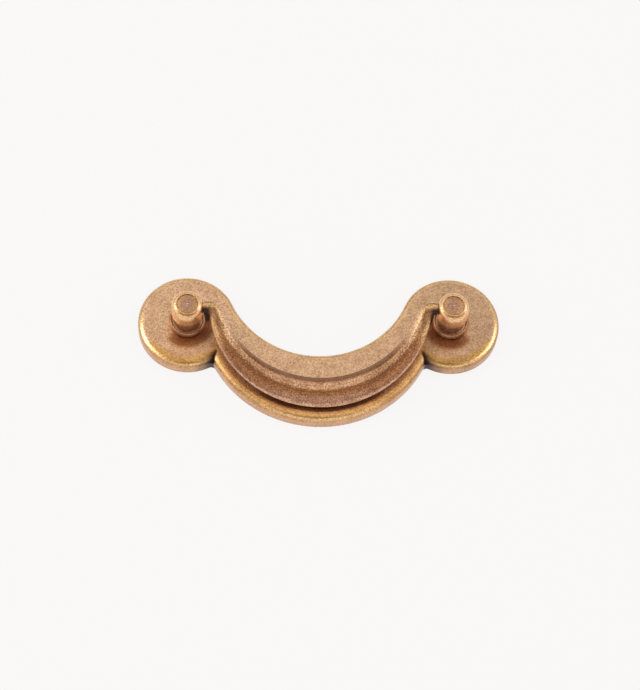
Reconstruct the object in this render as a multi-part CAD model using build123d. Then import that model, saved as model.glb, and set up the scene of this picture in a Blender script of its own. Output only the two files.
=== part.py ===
from build123d import *
import math
import os

# A drawer handle with a cast backplate, two turned posts and a swinging bail.
# Millimetres. X runs along the line of the two screw axes, Y up the drawer front and Z out of it.
# The origin is on the back of the backplate, midway between the two screw axes.

# Backplate: two round lobes joined by a crescent
screw_spacing = 76.0
lobe_radius = 14.2
waist_depth = 10.19
belly_depth = 30.9
belly_inset = 4.14
notch_radius = 1.5
plate_thickness = 4.4
front_edge_width = 2.2
front_edge_height = 1.45
back_rim_width = 2.4
back_pocket_depth = 2.4
back_pocket_corner = 0.6
boss_radius = 5.6

# Turned posts: tenon, ringed collar, neck and barrel-shaped ball
tenon_radius = 3.6
tenon_recess = 0.2
collar_base_radius = 4.9
collar_radius = 5.25
collar_widest_height = 0.7
collar_height = 1.6
collar_crown_radius = 4.8
collar_groove_radius = 4.35
collar_groove_depth = 0.8
neck_radius = 3.8
ball_radius = 4.62
ball_barrel_length = 2.5
pivot_height = 14.1
ball_shoulder_start = 1.35
top_rim_height = 2.4
top_rim_radius = 3.3
top_recess_radius = 3.05
top_recess_depth = 0.32
top_dome_height = 0.3
centre_mark_radius = 0.35
centre_mark_depth = 0.25
screw_core_radius = 1.65
screw_hole_depth = 8.0
screw_mouth_chamfer = 0.4
drill_point_angle = 118.0

# Bail outline, seen square to its own plane: a crescent between a lip arc and a back arc. Each reaches
# this far down in the middle, and this far inside the arm's shoulder on the pivot line.
lip_reach = 28.5
lip_inset = 0.35
back_reach = 20.4
back_inset = 4.13
fan_height = 7.0
fan_limit = 73.0
fan_steps = 7

# Bail section at its middle: heights over its own plane, and places from -1 at its back to 1 at its lip
lip_height = 1.15
lip_thickness = 1.3
lip_round_place = 0.8
lip_face_height = 1.05
lip_face_place = 0.5
groove_height = 0.7
groove_place = 0.07
slope_height = 1.5
slope_place = -0.13
ridge_height = 2.35
ridge_place = -0.42
back_height = 1.05
back_place = -0.9
heel_depth = 3.6
heel_height = -3.1
heel_place = -0.98
heel_round_place = -0.95
heel_seat_place = -0.82
hollow_depth = 1.0

# Bail tips: how far they are drawn in from both arcs, and how much of the depth and the moulding is left
# where the crescent meets its round arms
tip_tuck = 0.75
tip_tuck_power = 4
tip_depth_share = 0.05
tip_moulding_share = 0.5
tip_moulding_power = 6

# Bail arms, pins and rest
arm_radius = 1.9
elbow_clearance = 0.6
elbow_steps = 4
shoulder_gap = 0.12
pin_radius = 1.4
pin_length = 3.5
pin_clearance = 0.05
pin_end_clearance = 0.4
rest_gap = 0.2

post_x = screw_spacing / 2
shoulder_x = post_x - ball_radius - shoulder_gap
STANDING = (Align.CENTER, Align.CENTER, Align.MIN)


def disc(radius, height, edge_width, edge_height, flared=False):
    """A disc from z = 0 up. A quarter ellipse rounds its upper edge off, or flares it outwards."""
    way = -1 if flared else 1
    top_radius = radius - way * edge_width
    edge_centre = (top_radius, height - edge_height)
    start_angle = 180 if flared else 0
    outline = [
        Polyline((0, height), (0, 0), (radius, 0), (radius, height - edge_height)),
        EllipticalCenterArc(edge_centre, edge_width, edge_height, start_angle, arc_size=way * 90),
        Line((top_radius, height), (0, height)),
    ]
    return revolve(Plane.XZ * make_face(outline), Axis.Z)


def arc_centre(first, second, radius):
    """Centre of an arc that touches two discs, on the right of the way from the first to the second."""
    (first_centre, first_radius), (second_centre, second_radius) = first, second
    near = first_radius + radius
    far = second_radius + radius
    way = second_centre - first_centre
    along = (way.length**2 + near**2 - far**2) / (2 * way.length)
    across = math.sqrt(near**2 - along**2)
    right = Vector(way.Y, -way.X).normalized()
    return first_centre + way.normalized() * along + right * across


def wedge(corners, height):
    """An upright prism on a flat outline with straight sides."""
    return extrude(make_face(Polyline(*corners, close=True)), height)


def arc_radius(half_width, depth):
    """Radius of the arc that reaches depth below the middle of a chord with this half width."""
    return (half_width**2 + depth**2) / (2 * depth)


def plate_form(inset, height, edge_width, edge_height):
    """The backplate's shape, drawn in from its outline by inset, with its upper edge rounded.

    The lobes and the belly are discs. The waist's concave arc touches the two lobes. The rounded edges
    of a lobe and the belly cross in a sharp notch, and only the wall below has a casting radius there.
    """
    wall_height = height - edge_height
    waist_radius = (post_x**2 + waist_depth**2 - lobe_radius**2) / (2 * (lobe_radius + waist_depth))
    waist = Vector(0, waist_radius - waist_depth)
    belly_radius = arc_radius(post_x - belly_inset, belly_depth)
    belly = Vector(0, belly_radius - belly_depth)
    right_lobe = Vector(post_x, 0)
    notch = arc_centre((belly, belly_radius), (right_lobe, lobe_radius), notch_radius)
    belly_disc = Pos(*belly) * disc(belly_radius - inset, height, edge_width, edge_height)
    waist_cut = Pos(*waist) * disc(waist_radius + inset, height, edge_width, edge_height, flared=True)
    notch_cut = Pos(*notch) * Cylinder(notch_radius + inset, wall_height, align=STANDING)
    notch_web = wedge((belly, right_lobe, notch), wall_height) - notch_cut
    form = split(belly_disc, Plane.XZ)
    form += wedge((Vector(-post_x, 0), right_lobe, waist), height)
    form += notch_web
    form += mirror(notch_web, Plane.YZ)
    form -= waist_cut
    lobe_disc = disc(lobe_radius - inset, height, edge_width, edge_height)
    for side in (-1, 1):
        form += Pos(side * post_x, 0, 0) * lobe_disc
    return form


def make_backplate():
    """The casting: rounded front edge, hollow back with a rim, and a boss round each tenon."""
    plate = plate_form(0, plate_thickness, front_edge_width, front_edge_height)
    pocket = plate_form(back_rim_width, back_pocket_depth, back_pocket_corner, back_pocket_corner)
    boss = Cylinder(boss_radius, back_pocket_depth, align=STANDING)
    tenon_hole = Cylinder(tenon_radius, plate_thickness, align=STANDING)
    for side in (-1, 1):
        pocket -= Pos(side * post_x, 0, 0) * boss
    plate -= pocket
    for side in (-1, 1):
        plate -= Pos(side * post_x, 0, 0) * tenon_hole
    return plate


def post_section():
    """Half section of a post in the XZ plane, from the centre of its top down to its tenon."""
    rim_z = pivot_height + top_rim_height
    recess_z = rim_z - top_recess_depth
    dome_z = recess_z + top_dome_height
    shoulder_z = pivot_height + ball_shoulder_start
    shoulder_radius = math.sqrt(ball_radius**2 - ball_shoulder_start**2)
    shoulder_way = (-ball_shoulder_start, shoulder_radius)
    barrel_z = pivot_height - ball_barrel_length
    neck_z = barrel_z - math.sqrt(ball_radius**2 - neck_radius**2)
    crown_z = plate_thickness + collar_height
    groove_z = crown_z - collar_groove_depth
    widest_z = plate_thickness + collar_widest_height
    outline = [
        Line((0, dome_z - centre_mark_depth), (centre_mark_radius, dome_z)),
        TangentArc((centre_mark_radius, dome_z), (top_recess_radius, recess_z), tangent=(1, 0)),
        Polyline((top_recess_radius, recess_z), (top_recess_radius, rim_z), (top_rim_radius, rim_z)),
        TangentArc((shoulder_radius, shoulder_z), (top_rim_radius, rim_z), tangent=shoulder_way),
        RadiusArc((shoulder_radius, shoulder_z), (ball_radius, pivot_height), ball_radius),
        Line((ball_radius, pivot_height), (ball_radius, barrel_z)),
        RadiusArc((ball_radius, barrel_z), (neck_radius, neck_z), ball_radius),
        Polyline((neck_radius, neck_z), (neck_radius, groove_z), (collar_groove_radius, groove_z)),
        Spline(
            (collar_groove_radius, groove_z),
            (collar_crown_radius, crown_z),
            (collar_radius, widest_z),
            (collar_base_radius, plate_thickness),
            tangents=((0, 1), (-1, -1)),
        ),
        Polyline(
            (collar_base_radius, plate_thickness),
            (tenon_radius, plate_thickness),
            (tenon_radius, tenon_recess),
            (0, tenon_recess),
            (0, dome_z - centre_mark_depth),
        ),
    ]
    return Plane.XZ * make_face(outline)


def screw_hole():
    """The blind hole tapped from behind, with its drill point and a chamfered mouth."""
    point_height = screw_core_radius / math.tan(math.radians(drill_point_angle / 2))
    mouth_radius = screw_core_radius + screw_mouth_chamfer
    core = Cylinder(screw_core_radius, screw_hole_depth, align=STANDING)
    point = Cone(screw_core_radius, 0, point_height, align=STANDING)
    mouth = Cone(mouth_radius, screw_core_radius, screw_mouth_chamfer, align=STANDING)
    return core + Pos(0, 0, screw_hole_depth) * point + Pos(0, 0, tenon_recess) * mouth


def pin_bore():
    """The blind cross hole for the bail's pin, in a right-hand post: its mouth faces the other post."""
    floor_x = shoulder_x + pin_length + pin_end_clearance - post_x
    bore = Cylinder(pin_radius + pin_clearance, floor_x + 2 * ball_radius, align=STANDING)
    return Pos(floor_x, 0, pivot_height) * Rot(0, -90, 0) * bore


def make_post(side):
    """A turned post at one end: side is -1 for the left and 1 for the right."""
    post = revolve(post_section(), Axis.Z) - screw_hole() - pin_bore()
    if side < 0:
        post = mirror(post, Plane.YZ)
    return Pos(side * post_x, 0, 0) * post


def fan_points(degrees):
    """Where a ray of the fan crosses the lip arc and the back arc, at an angle from the middle."""
    angle = math.radians(degrees)
    ray = Vector(math.sin(angle), -math.cos(angle))
    hub = Vector(0, fan_height)
    tuck = tip_tuck * abs(degrees / fan_limit) ** tip_tuck_power
    points = []
    for arc_reach, inset in ((lip_reach, lip_inset), (back_reach, back_inset)):
        radius = arc_radius(shoulder_x - inset, arc_reach)
        above = fan_height + arc_reach - radius
        reach = math.sqrt(radius**2 - (ray.X * above) ** 2) - ray.Y * above
        points.append(hub + ray * (reach - tuck))
    return points


def bail_section(lip, back, moulding_share, depth_share):
    """One section of the bail: a round bar where moulding_share is 0, an ogee moulding where it is 1.

    Every point keeps its place across the section. Its height goes from the bar's to the moulding's,
    and depth_share, from 0 to 1, takes the moulding from the bar's depth to its full one.
    """
    half_width = (lip - back).length / 2
    across = (lip - back).normalized()
    plane = Plane((lip + back) / 2, x_dir=across, z_dir=across.cross(Vector(0, 0, 1)))

    def point(place, height, bar_side=1):
        bar_height = bar_side * arm_radius * math.sqrt(1 - place**2)
        moulded_height = bar_height + (height - bar_height) * depth_share
        section_height = bar_height + (moulded_height - bar_height) * moulding_share
        return plane.from_local_coords((place * half_width, section_height, 0))

    under_lip_height = lip_height - lip_thickness
    lip_top = point(lip_round_place, lip_height)
    lip_edge = point(1, lip_height - lip_thickness / 2)
    lip_under = point(lip_round_place, under_lip_height, -1)
    heel = point(heel_place, heel_height, -1)
    heel_round = point(heel_round_place, heel_height - (heel_depth + heel_height) / 2, -1)
    heel_seat = point(heel_seat_place, -heel_depth, -1)
    hollow_height = (under_lip_height - heel_depth) / 2 + hollow_depth
    ogee = Spline(
        lip_top,
        point(lip_face_place, lip_face_height),
        point(groove_place, groove_height),
        point(slope_place, slope_height),
        point(ridge_place, ridge_height),
        point(back_place, back_height),
        heel,
    )
    underside = Spline(heel_seat, point(0, hollow_height, -1), lip_under)
    heel_arc = ThreePointArc(heel, heel_round, heel_seat)
    lip_arc = ThreePointArc(lip_under, lip_edge, lip_top)
    return make_face([ogee, heel_arc, underside, lip_arc])


def arm_stations():
    """Lip point, back point and shares for the left arm, from its shoulder round its elbow."""
    lip, back = fan_points(-fan_limit)
    outward = (lip - back).normalized()
    elbow = lip + outward * elbow_clearance
    arm_lip = Vector(elbow.X, -arm_radius)
    arm_back = Vector(elbow.X, arm_radius)
    stations = [(Vector(-shoulder_x, -arm_radius), Vector(-shoulder_x, arm_radius), 0, 0)]
    stations.append((arm_lip, arm_back, 0, 0))
    first_angle = 90
    last_angle = math.degrees(math.atan2(-outward.Y, -outward.X))
    for step in range(1, elbow_steps):
        share = step / elbow_steps
        angle = math.radians(first_angle + (last_angle - first_angle) * share)
        ray = Vector(math.cos(angle), math.sin(angle))
        near = (elbow - arm_lip).length * (1 - share) + elbow_clearance * share
        far = (elbow - arm_back).length * (1 - share) + (elbow - back).length * share
        shares = (tip_moulding_share * share, tip_depth_share * share)
        stations.append((elbow + ray * near, elbow + ray * far, *shares))
    return stations


def crescent_stations():
    """Lip point, back point and shares for the left half of the crescent, closer set at its ends."""
    stations = []
    for step in range(fan_steps):
        tip_share = math.cos(math.pi / 2 * step / fan_steps)
        lip, back = fan_points(-fan_limit * tip_share)
        moulding_share = 1 - (1 - tip_moulding_share) * tip_share**tip_moulding_power
        depth_share = 1 - (1 - tip_depth_share) * tip_share**2
        stations.append((lip, back, moulding_share, depth_share))
    return stations


def make_bail():
    """The casting that swings: a crescent moulding with an elbow, a round arm and a pin at each end."""
    stations = arm_stations() + crescent_stations() + [(*fan_points(0), 1, 1)]
    for lip, back, *shares in reversed(stations[:-1]):
        stations.append((Vector(-lip.X, lip.Y), Vector(-back.X, back.Y), *shares))
    bail = loft([bail_section(*station) for station in stations])
    pin = Pos(shoulder_x - arm_radius, 0, 0) * Rot(0, 90, 0)
    pin *= Cylinder(pin_radius, pin_length + arm_radius, align=STANDING)
    return bail + pin + mirror(pin, Plane.YZ)


def place_bail(bail):
    """Lay the bail down on its pivot axis until its heel is a small gap above the backplate."""
    heel_reach = (lip_reach + back_reach + heel_seat_place * (lip_reach - back_reach)) / 2
    drop = pivot_height - plate_thickness - rest_gap
    lean = math.asin(drop / math.hypot(heel_reach, heel_depth)) - math.atan2(heel_depth, heel_reach)
    return Pos(0, 0, pivot_height) * Rot(math.degrees(lean), 0, 0) * bail


pieces = {
    "backplate": make_backplate(),
    "left_post": make_post(-1),
    "right_post": make_post(1),
    "bail": place_bail(make_bail()),
}
os.makedirs("parts", exist_ok=True)
for name, piece in pieces.items():
    export_step(piece, f"parts/{name}.step")
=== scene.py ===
# %% [markdown]
# # A drawer handle in antique brass
#
# The handle has four pieces: a cast backplate, two turned posts and a cast bail that swings between them.
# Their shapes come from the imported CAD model, which stays as it is. This lesson gives them their finish,
# a floor, soft light and a camera. Everything is in metres, in the frame of the CAD model: X runs along
# the two screw axes, Y up the drawer front and Z out of it, and the handle lies on its back at z = 0.

import math

import bpy
from mathutils import Matrix, Vector

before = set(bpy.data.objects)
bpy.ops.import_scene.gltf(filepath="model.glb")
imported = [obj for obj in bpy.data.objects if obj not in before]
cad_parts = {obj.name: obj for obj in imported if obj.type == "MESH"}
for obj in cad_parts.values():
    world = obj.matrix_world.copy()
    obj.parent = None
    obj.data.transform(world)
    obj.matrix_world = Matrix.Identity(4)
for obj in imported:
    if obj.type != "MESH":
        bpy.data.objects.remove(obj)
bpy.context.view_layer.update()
print("CAD pieces:", sorted(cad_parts))

# %% [markdown]
# ## Camera
#
# A camera can be placed by eye or worked out from points whose real places are known. Here it was fitted to
# the outline of the lobes and the posts, so it has the photograph's own angle and lens: high over the
# handle, a little to its left and turned a few degrees. The frame is taller than wide, so Blender's 36 mm
# sensor covers its height of 690 pixels. A small lens shift puts the handle just above the middle.

# %% Camera
PICTURE_HEIGHT = 690
SENSOR = 36.0
camera_elevation = math.radians(65.88)
camera_azimuth = math.radians(-6.07)
camera_roll = math.radians(5.95)
camera_distance = 0.7767
camera_focal_pixels = 2675.5
origin_right_of_middle = -1.52
origin_above_middle = 16.77

towards_camera = Vector((
    math.sin(camera_azimuth) * math.cos(camera_elevation),
    -math.cos(camera_azimuth) * math.cos(camera_elevation),
    math.sin(camera_elevation),
))
level_right = (-towards_camera).cross(Vector((0, 0, 1))).normalized()
level_up = level_right.cross(-towards_camera)
camera_right = level_right * math.cos(camera_roll) + level_up * math.sin(camera_roll)
camera_up = level_up * math.cos(camera_roll) - level_right * math.sin(camera_roll)

camera_data = bpy.data.cameras.new("camera")
camera_data.sensor_width = SENSOR
camera_data.lens = SENSOR * camera_focal_pixels / PICTURE_HEIGHT
camera_data.shift_x = -origin_right_of_middle / PICTURE_HEIGHT
camera_data.shift_y = -origin_above_middle / PICTURE_HEIGHT
camera_data.clip_start = 0.01
camera = bpy.data.objects.new("camera", camera_data)
bpy.context.scene.collection.objects.link(camera)
turn = Matrix((camera_right, camera_up, towards_camera)).transposed()
camera.matrix_world = Matrix.Translation(towards_camera * camera_distance) @ turn.to_4x4()
bpy.context.scene.camera = camera
print("lens in mm:", round(camera_data.lens, 2))

# %% [markdown]
# ## Shader maths in plain Python
#
# A finish is a graph of nodes, and a graph with many Math nodes is hard to read when each node is added and
# linked by hand. So one small class wraps a socket: `+`, `-`, `*`, `/` and `abs` on it add the Math node, and
# its `node` method adds any other node, with its settings first and its sockets after.

# %% The socket wrapper
class Wire:
    """A node socket on which a sum is written as on a number."""

    def __init__(self, tree, socket):
        self.tree = tree
        self.socket = socket

    def node(self, kind, settings, inputs, output=0):
        made = self.tree.nodes.new(kind)
        for name, value in settings.items():
            setattr(made, name, value)
        for name, value in inputs.items():
            if isinstance(value, Wire):
                self.tree.links.new(value.socket, made.inputs[name])
            else:
                made.inputs[name].default_value = value
        return Wire(self.tree, made.outputs[output])

    def maths(self, operation, *values):
        return self.node("ShaderNodeMath", {"operation": operation}, dict(enumerate(values)))

    def __add__(self, other):
        return self.maths("ADD", self, other)

    def __radd__(self, other):
        return self.maths("ADD", other, self)

    def __sub__(self, other):
        return self.maths("SUBTRACT", self, other)

    def __rsub__(self, other):
        return self.maths("SUBTRACT", other, self)

    def __mul__(self, other):
        return self.maths("MULTIPLY", self, other)

    def __rmul__(self, other):
        return self.maths("MULTIPLY", other, self)

    def __truediv__(self, other):
        return self.maths("DIVIDE", self, other)

    def __rtruediv__(self, other):
        return self.maths("DIVIDE", other, self)

    def __abs__(self):
        return self.maths("ABSOLUTE", self)


def clamped(value):
    """A value kept between 0 and 1."""
    return value.node("ShaderNodeClamp", {}, {"Value": value})


def ramp(value, low, high):
    """A soft step: 0 where the value is at low, 1 where it is at high. Low may be above high."""
    inputs = {"Value": value, "From Min": low, "From Max": high}
    return value.node("ShaderNodeMapRange", {"interpolation_type": "SMOOTHSTEP"}, inputs)


def bump_at(value, centre, reach):
    """A soft hill: 1 where the value is at the centre, 0 from its reach away."""
    return ramp(abs(value - centre), reach, 0.0)


def distance(step, cross_step):
    """How far two steps at right angles lead."""
    return step.maths("SQRT", step * step + cross_step * cross_step)


def mixed(mask, where_0, where_1):
    """One of two colours, by a mask."""
    return mask.node("ShaderNodeMix", {"data_type": "RGBA"}, {0: mask, 6: where_0, 7: where_1}, output=2)


def tinted(tint, colour):
    """A colour times a tint. The tint is a colour or a plain level."""
    settings = {"data_type": "RGBA", "blend_type": "MULTIPLY"}
    return tint.node("ShaderNodeMix", settings, {0: 1.0, 6: colour, 7: tint}, output=2)


def bands(value, *stops):
    """Colours that melt into each other along a value. Each stop is a place and its colour."""
    shade = stops[0][1]
    for (before, _), (after, colour) in zip(stops, stops[1:]):
        shade = mixed(ramp(value, before, after), shade, colour)
    return shade


def speckle(place, grain_mm, detail=4.0, roughness=0.6):
    """Noise from 0 to 1 with grains of about this size."""
    inputs = {"Vector": place, "Scale": 1 / grain_mm, "Detail": detail, "Roughness": roughness}
    return place.node("ShaderNodeTexNoise", {}, inputs)


print("socket wrapper ready")

# %% [markdown]
# ## The finish in general
#
# Antique brass starts as bright brass. It is darkened all over with a brown patina and then brushed back, so
# it stays tan with a fine speckle on the open faces, gold where a cloth or a hand reaches, and brown to
# almost black in the hollows. It could be painted as a picture, but a picture has only the detail that was
# put in. Here it is one recipe of noise for all pieces. Each piece works out from its own shape what goes
# into it: a `shade` of brass for every place, and masks for where it is `worn`, `brown` or `black`. The
# colours are written as they look on a screen and made linear once.


# %% Colours
def linear(red, green, blue):
    """A colour written as 0 to 255 on a screen, as the linear colour that a shader works in."""
    return (*(((value / 255 + 0.055) / 1.055) ** 2.4 for value in (red, green, blue)), 1.0)


# The two ends of the speckle, as tints.
DULL = (0.55, 0.46, 0.37, 1.0)
BRIGHT = (1.5, 1.64, 1.85, 1.0)

# What all the pieces share.
TAN = linear(216, 171, 129)
GOLD = linear(236, 190, 132)
BROWN = linear(150, 98, 58)
BROWN_DARK = linear(130, 76, 41)
GUNMETAL = linear(50, 25, 26)

# The plate.
REFLECTED_OLIVE_GOLD = linear(214, 159, 82)
BELLY_PAINTED_LIGHT = linear(238, 176, 100)
WALL_TAN = linear(206, 155, 111)

# The posts.
GLINT_CREAM = linear(250, 216, 186)
BALL_TAN = linear(240, 190, 140)
REFLECTED_DARK_GOLD = linear(170, 116, 60)
RECESS_TAN = linear(180, 134, 106)
RECESS_GOLD = linear(192, 146, 100)
NECK_TAN = linear(206, 164, 132)
COLLAR_TAN = linear(178, 128, 92)

# The bail.
REAR_BROWN = linear(136, 87, 44)
RIDGE_TAN = linear(206, 153, 115)
RIDGE_SIDE = linear(192, 144, 103)
GROOVE_BROWN = linear(165, 110, 65)
LIP_TAN = linear(173, 127, 97)
LIP_SIDE = linear(162, 110, 74)
LIP_EDGE = linear(208, 162, 130)
ELBOW_BROWN = linear(136, 91, 58)
ARM_GOLD = linear(216, 171, 116)
ARM_PAINTED_SHADOW_LINE = linear(172, 128, 82)

print("tan as a linear colour:", [round(part, 3) for part in TAN])


# %% The finish
RELIEF_DEPTH = 0.0001


def surface(name):
    """A new material, its shader, and the place on the surface in millimetres."""
    material = bpy.data.materials.new(name)
    material.use_nodes = True
    tree = material.node_tree
    shader = tree.nodes["Principled BSDF"]
    coordinates = tree.nodes.new("ShaderNodeTexCoord")
    metres = Wire(tree, coordinates.outputs["Object"])
    scaled = {"operation": "SCALE"}
    return material, shader, metres.node("ShaderNodeVectorMath", scaled, {"Vector": metres, "Scale": 1000.0})


def split(place):
    """X, Y and Z of a place."""
    parts = place.node("ShaderNodeSeparateXYZ", {}, {"Vector": place})
    return [Wire(place.tree, parts.socket.node.outputs[axis]) for axis in "XYZ"]


def feed(shader, name, value):
    value.tree.links.new(value.socket, shader.inputs[name])


def antique_brass(shader, place, shade, worn, brown, black, grit, dullness):
    """Brushed brass with brown specks: gold where worn, denser brown where brown, gunmetal where black.

    Grit is how strong the speckle is, and dullness the roughness of the open faces.
    """
    cloud = speckle(place, 3.2, detail=2.0)
    grain = speckle(place, 0.42, detail=3.0, roughness=0.7)
    dots = speckle(place, 0.45, detail=1.0, roughness=0.5)
    mottle = 0.5 + (ramp(grain * 0.8 + cloud * 0.2, 0.32, 0.68) - 0.5) * grit
    brushed = tinted(mixed(mottle, DULL, BRIGHT), mixed(clamped(worn), shade, GOLD))
    stain = ramp(brown + (dots - 0.5) * 1.8, 0.22, 0.6)
    browned = mixed(stain, brushed, mixed(ramp(grain, 0.4, 0.6), BROWN_DARK, BROWN))
    feed(shader, "Base Color", mixed(clamped(black), browned, GUNMETAL))
    feed(shader, "Metallic", 0.94 - clamped(black) * 0.2 - stain * 0.2)
    feed(shader, "Roughness", dullness + stain * 0.14 - clamped(worn) * 0.2)
    feed(shader, "Coat Weight", 0.25 - clamped(black) * 0.25)
    relief = {"Strength": 0.7, "Distance": RELIEF_DEPTH, "Height": dots * 0.5 + grain * 0.5}
    feed(shader, "Normal", place.node("ShaderNodeBump", {}, relief))
    shader.inputs["Coat Roughness"].default_value = 0.22


print("relief in mm:", 1000 * RELIEF_DEPTH)


# %% [markdown]
# ## Backplate
#
# The plate's face is tan. Just inside the near edges of the lobes it is painted golden, a painted reflection,
# and the belly's near rim is painted brighter against the bail's shade and darker towards its sides, so that
# its shine stays thin. Its rounded edge is polished along one thin line, its walls are a plainer tan, and the
# right end of the plate is a little darker. The dark patina stays where no cloth reaches, in the two notches
# beside the lobes. Round the foot of each post, beside the bail's arms and under the bail the dark is partly
# patina and partly painted shade. These masks need no picture. The distance from a post, the distance from
# the middle of the belly's arc and the fall of the edge below the face say where each of them is.

# %% Plate brass
POST_X = 38.0
PLATE_TOP = 4.4
EDGE_HEIGHT = 1.45
NOTCH_TIP = (29.6, -8.6)
NOTCH_WAY = (0.24, 0.97)
SHADE_WAY = (0.45, 0.9)
ARM_PLACE = (32.3, 1.8)
BELLY_Y = 3.1

plate_brass, plate_shader, plate_place = surface("plate_brass")
x, y, z = split(plate_place)
side_x = abs(x)
edge_fall = (PLATE_TOP - z) / EDGE_HEIGHT
on_face = ramp(z, 4.2, 4.35)
on_rim = ramp(edge_fall, -0.02, 0.06) * ramp(edge_fall, 0.8, 0.3)
polished_line = ramp(edge_fall, 0.04, 0.14) * ramp(edge_fall, 0.5, 0.28)
from_post = distance(side_x - POST_X, y)
from_belly = distance(x, y - BELLY_Y)
# Just inside the near rim of each lobe: a painted reflection, golden.
lobe_rim_painted_reflection = ramp(from_post, 10.2, 12.5) * ramp(y, -3.0, -10.0) * ramp(side_x, 29.0, 30.0)
# The belly's near rim: painted brighter against the bail's shade, and painted darker towards its sides.
painted_belly_rim = ramp(from_belly, 31.0, 31.6) * ramp(side_x, 31.0, 29.0) * ramp(y, 0.0, -6.0)
belly_side_painted_shade = painted_belly_rim * ramp(side_x, 8.0, 22.0) * on_rim
below_tip = (side_x - NOTCH_TIP[0]) * NOTCH_WAY[0] - (y - NOTCH_TIP[1]) * NOTCH_WAY[1]
beside_tip = (side_x - NOTCH_TIP[0]) * NOTCH_WAY[1] + (y - NOTCH_TIP[1]) * NOTCH_WAY[0]
in_notch = ramp(below_tip, 0.0, 0.6) * ramp(beside_tip, -0.7, -0.1)
notch_core = in_notch * ramp(beside_tip - below_tip * 0.35, 1.0, -0.8)
notch_wide = in_notch * ramp(beside_tip - below_tip * 0.6, 1.2, -0.6)
# Round the foot of each post, towards the bail and down the drawer: partly patina, partly a painted shadow.
inward = (POST_X - side_x) * SHADE_WAY[0] - y * SHADE_WAY[1]
foot_patina_and_shadow = ramp(from_post, 9.8, 5.2) * ramp(inward, 0.0, 4.5) * on_face
# Beside each arm of the bail: partly patina, partly painted shade.
near_arm = bump_at(side_x, ARM_PLACE[0], 2.6) * bump_at(y, ARM_PLACE[1], 4.6)
under_arm_patina_and_shade = ramp(near_arm, 0.15, 0.85) * on_face
# Under the bail: partly patina, partly a painted shadow.
under_bail_patina_and_shadow = ramp(y, -19.5, -24.0) * ramp(from_belly, 31.5, 30.9)
browning_and_painted_shadow = bands(foot_patina_and_shadow + under_bail_patina_and_shadow * 0.45, (0.0, TAN), (0.55, BROWN), (1.0, BROWN_DARK))
face = mixed(painted_belly_rim * 0.8, mixed(lobe_rim_painted_reflection, browning_and_painted_shadow, REFLECTED_OLIVE_GOLD), BELLY_PAINTED_LIGHT)
outline = mixed(ramp(edge_fall, 0.25, 0.7), face, WALL_TAN)
# The shade is a little darker towards the right end, and painted darker along the sides of the belly's rim.
antique_brass(
    plate_shader,
    plate_place,
    shade=tinted(1.0 - ramp(x, 22.0, 34.0) * 0.18 - belly_side_painted_shade * 0.38, outline),
    worn=polished_line * (1.0 - belly_side_painted_shade),
    grit=0.75,
    dullness=0.36,
    brown=foot_patina_and_shadow * 0.2,
    black=notch_core * 0.55 + notch_wide * 0.45 + under_arm_patina_and_shade,
)
print("plate brass has", len(plate_brass.node_tree.nodes), "nodes")

# %% [markdown]
# ## Posts
#
# A post is turned, so most of its patina lies in rings round its axis. The recessed top goes from brown in
# the middle to gold, with a painted glint on its centre mark, and the shoulder round it is polished. A darker
# golden ring on the side that faces down the drawer is a painted reflection. Below the barrel come a dull
# neck and a ringed collar. Radius and height tell them all apart, and the painted reflection also looks at
# the side.

# %% Post brass
post_brass, post_shader, post_place = surface("post_brass")
x, y, z = split(post_place)
radius = distance(abs(x) - POST_X, y)
recess = ramp(radius, 3.15, 3.0) * ramp(z, 16.0, 16.2)
recess_ring = bump_at(radius, 2.95, 0.4) * recess
neck = ramp(z, 9.3, 9.0) * ramp(radius, 3.95, 3.85)
collar_groove = ramp(z, 7.0, 6.6) * ramp(radius, 4.7, 4.4)
# A painted reflection: a darker golden ring on the side that faces down the drawer.
painted_reflection_ring = bump_at(radius, 3.55, 0.5) * ramp(z, 15.9, 16.1) * ramp(y, -0.8, -2.4)
shoulder = ramp(z, 15.0, 15.6) * ramp(radius, 3.0, 3.2)
collar = ramp(z, 6.6, 6.2) * ramp(radius, 4.3, 4.6)
# A painted glint in the middle of the recessed top.
top_disc = bands(radius, (0.08, GLINT_CREAM), (0.25, RECESS_TAN), (1.4, RECESS_TAN), (2.3, RECESS_GOLD))
ball = mixed(painted_reflection_ring, mixed(recess, BALL_TAN, top_disc), REFLECTED_DARK_GOLD)
turned = mixed(collar, mixed(neck, ball, NECK_TAN), COLLAR_TAN)
antique_brass(
    post_shader,
    post_place,
    shade=turned,
    worn=shoulder * (1.0 - painted_reflection_ring) * 0.3,
    grit=0.75,
    dullness=0.36,
    brown=recess * 0.05 + recess_ring * 0.2,
    black=collar_groove * 0.35,
)
print("post brass has", len(post_brass.node_tree.nodes), "nodes")

# %% [markdown]
# ## Bail
#
# The bail's moulding follows its curve, so its patina must follow it too. A pattern in X and Y would cut
# across it. The moulding was drawn on a fan of rays from one hub, so here the same fan gives each point of
# the surface its place across the moulding: -1 at the back of the bail and 1 at its lip. The bail was
# modelled lying down, so the place is first turned back into the bail's own plane.

# %% Bail coordinates
PIVOT_Z = 14.1
REST_LEAN = math.radians(16.64)
FAN_HUB = 7.0
FAN_LIMIT = math.radians(73)
TIP_TUCK = 0.75
LIP_CENTRE = -4.75
LIP_RADIUS = 33.25
BACK_CENTRE = -10.6
BACK_RADIUS = 31.0

bail_brass, bail_shader, bail_place = surface("bail_brass")
x, y, z = split(bail_place)
up = z - PIVOT_Z
along = y * math.cos(REST_LEAN) + up * math.sin(REST_LEAN)
height = up * math.cos(REST_LEAN) - y * math.sin(REST_LEAN)
below_hub = FAN_HUB - along
ray_length = distance(x, below_hub)
ray_sine = x / ray_length
ray_cosine = below_hub / ray_length


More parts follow.
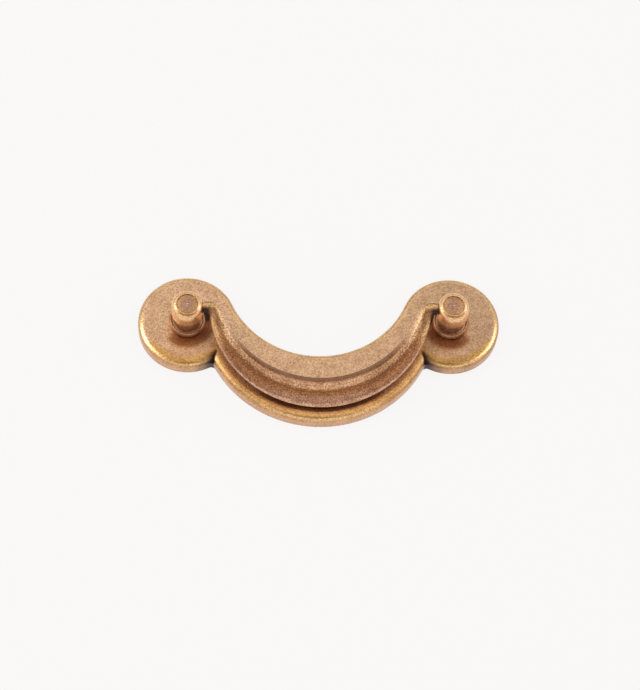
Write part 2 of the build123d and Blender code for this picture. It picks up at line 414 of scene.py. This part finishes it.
def reach(centre, radius):
    """How far along the ray an arc of the bail's outline lies."""
    above = FAN_HUB + centre
    across = ray_sine * above
    return x.maths("SQRT", radius * radius - across * across) + ray_cosine * above


lip_reach = reach(LIP_CENTRE, LIP_RADIUS)
back_reach = reach(BACK_CENTRE, BACK_RADIUS)
tip_share = x.maths("ARCTAN2", x, below_hub) / FAN_LIMIT
untucked = ray_length + x.maths("POWER", abs(tip_share), 4.0) * TIP_TUCK
across = (untucked * 2 - lip_reach - back_reach) / (lip_reach - back_reach)
print("the fan opens", round(math.degrees(FAN_LIMIT)), "degrees to each side")

# %% [markdown]
# Across the moulding the brass goes through bands: a dark line at the back, a tan ridge, a brown groove and a
# lip with a light edge. Towards the sides the groove grows broader and browner, and it ends in the hollow of
# the elbow. The round arm has bands of its own: golden, then a painted shadow line, then a painted highlight
# along its top, and the side that faces the plate is dark, partly patina and partly painted shade. Along the
# middle of the ridge's crest the brass is a little golder and smoother, partly wear and partly a painted
# highlight, and the hollow underside, which nobody polishes, is brown.

# %% Bail brass
side_x = abs(x)
crescent = ramp(side_x, 31.0, 27.0)
upper = ramp(height, -0.4, 0.3)
sideways = ramp(side_x, 8.0, 20.0)
ridge_shade = mixed(ramp(side_x, 23.0, 27.0), mixed(sideways, RIDGE_TAN, RIDGE_SIDE), TAN)
lip_shade = mixed(sideways, LIP_TAN, LIP_SIDE)
rear_shade = mixed(ramp(side_x, 20.0, 27.0), REAR_BROWN, TAN)
moulding = bands(
    across - sideways * 0.12,
    (-0.88, rear_shade),
    (-0.6, ridge_shade),
    (-0.3, ridge_shade),
    (-0.1, GROOVE_BROWN),
    (0.12, GROOVE_BROWN),
    (0.4, lip_shade),
    (0.68, lip_shade),
    (0.82, LIP_EDGE),
)
groove_middle = bump_at(across, 0.0, 0.4) * 0.25
groove_sides = bump_at(across, 0.05, 0.75) * bump_at(side_x, 19.0, 12.0) * 0.42
# The middle of the ridge's crest: partly wear, partly a painted highlight.
ridge_crest_wear_and_highlight = bump_at(across, -0.3, 0.25) * ramp(side_x, 14.0, 4.0) * upper
# The arm's side that faces the plate: partly patina, partly painted shade.
arm_patina_and_shade = ramp(along, 0.4, -0.8) * ramp(side_x, 31.0, 32.3) * 0.95
# The arm's bands: golden, a painted shadow line, and gold along the top as a painted highlight.
arm_colour_and_painted_light = bands(along, (0.9, ARM_GOLD), (1.25, ARM_PAINTED_SHADOW_LINE), (1.5, ARM_PAINTED_SHADOW_LINE), (1.75, GOLD))
lip_line = ramp(across, 0.5, 0.85) * ramp(along, -2.0, -3.5)
elbow = ramp(along, 0.5, -0.9) * ramp(along, -8.0, -3.5) * ramp(across, -0.5, 0.1) * (1.0 - lip_line)
underside = ramp(height, -0.2, -0.8) * ramp(side_x, 31.0, 28.0) * ramp(across, 0.4, 0.0) * 0.6
antique_brass(
    bail_shader,
    bail_place,
    shade=mixed(elbow * 0.85, mixed(crescent, arm_colour_and_painted_light, moulding), ELBOW_BROWN),
    worn=ridge_crest_wear_and_highlight * 0.25,
    grit=1.25,
    dullness=0.46,
    brown=(groove_middle + groove_sides) * crescent * upper + underside,
    black=arm_patina_and_shade,
)
print("bail brass has", len(bail_brass.node_tree.nodes), "nodes")

# %% Give the pieces their finish
finishes = {
    "backplate": plate_brass,
    "left_post": post_brass,
    "right_post": post_brass,
    "bail": bail_brass,
}
for name, finish in finishes.items():
    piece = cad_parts[name]
    for material_slot in piece.material_slots:
        material_slot.material = finish
    print(name, "has", len(piece.data.polygons), "faces and", len(piece.material_slots), "finish")

# %% [markdown]
# ## Floor
#
# The photograph's floor is an even white sheet that runs out of the picture. One large plane does that, a
# hair below the handle, so that the two don't fight for the same place. Lamps bright enough to make paper
# white would burn out the brass. So the sheet glows by itself where the camera or the metal sees it, and a
# small share of it is still lit like paper, which keeps the handle's soft shadow.

# %% Floor
FLOOR_WHITE = linear(249, 248, 247)
FLOOR_GLOW = 0.93
FLOOR_WIDTH = 40.0
FLOOR_DROP = 0.00005

bpy.ops.object.select_all(action="DESELECT")
bpy.ops.mesh.primitive_plane_add(size=FLOOR_WIDTH, location=(0, 0, -FLOOR_DROP))
floor = bpy.context.active_object
floor.name = "floor"
sheet = bpy.data.materials.new("white_sheet")
sheet.use_nodes = True
tree = sheet.node_tree
paper = tree.nodes["Principled BSDF"]
paper.inputs["Base Color"].default_value = FLOOR_WHITE
paper.inputs["Roughness"].default_value = 0.9
paper.inputs["Specular IOR Level"].default_value = 0.0
path = tree.nodes.new("ShaderNodeLightPath")
seen = Wire(tree, path.outputs["Is Camera Ray"]) + Wire(tree, path.outputs["Is Glossy Ray"])
glow = seen.node("ShaderNodeEmission", {}, {"Color": FLOOR_WHITE, "Strength": 1.0})
blend = seen.node("ShaderNodeMixShader", {}, {0: seen * FLOOR_GLOW, 1: Wire(tree, paper.outputs[0]), 2: glow})
tree.links.new(blend.socket, tree.nodes["Material Output"].inputs["Surface"])
floor.data.materials.append(sheet)
print("floor is", floor.dimensions.x, "m wide")

# %% [markdown]
# ## Light
#
# Metal shows what stands round it, so its light is a matter of large pale shapes more than of lamps. A white
# room gives the rounded edges their shine. Overhead hangs something darker and warmer, as a camera on its
# stand would, and the flat faces show that, so they stay tan. A shaded far wall does the same for the slopes
# that face up the drawer. Two soft boxes, left and right, draw the highlights along the outer edges.


# %% Light
def soft_box(name, place, width, depth, power):
    """A rectangular lamp that faces the handle. Places and sizes are in metres, the power is in watts."""
    lamp = bpy.data.lights.new(name, "AREA")
    lamp.shape = "RECTANGLE"
    lamp.size = width
    lamp.size_y = depth
    lamp.energy = power
    holder = bpy.data.objects.new(name, lamp)
    holder.location = place
    holder.rotation_euler = Vector(place).to_track_quat("Z", "Y").to_euler()
    bpy.context.scene.collection.objects.link(holder)


soft_box("left_box", (-1.0, 0.1, 0.9), 0.7, 0.9, 5.0)
soft_box("right_box", (1.0, 0.1, 0.9), 0.7, 0.9, 3.0)

ROOM_LEVEL = 0.85
WALL_WHITE = (1.0, 0.99, 0.98, 1.0)
WALL_SHADE = (0.3, 0.23, 0.12, 1.0)
RIG_LEAN = 0.24

world = bpy.data.worlds.new("white_room")
world.use_nodes = True
room = world.node_tree.nodes["Background"]
room.inputs["Strength"].default_value = ROOM_LEVEL
way = Wire(world.node_tree, world.node_tree.nodes.new("ShaderNodeTexCoord").outputs["Generated"])
east, north, height = split(way)
rig_north = north + RIG_LEAN
overhead = east * east + rig_north * rig_north
rig = ramp(overhead, 0.12, 0.03) * ramp(height, 0.0, 0.2)
far_wall = ramp(height, 0.55, 0.15) * ramp(north, 0.3, 0.7) * 0.6
shade = rig.maths("MAXIMUM", rig, far_wall)
world.node_tree.links.new(mixed(shade, WALL_WHITE, WALL_SHADE).socket, room.inputs["Color"])
bpy.context.scene.world = world

bpy.context.scene.view_settings.view_transform = "Standard"
print("lamps:", [lamp.name for lamp in bpy.data.lights])
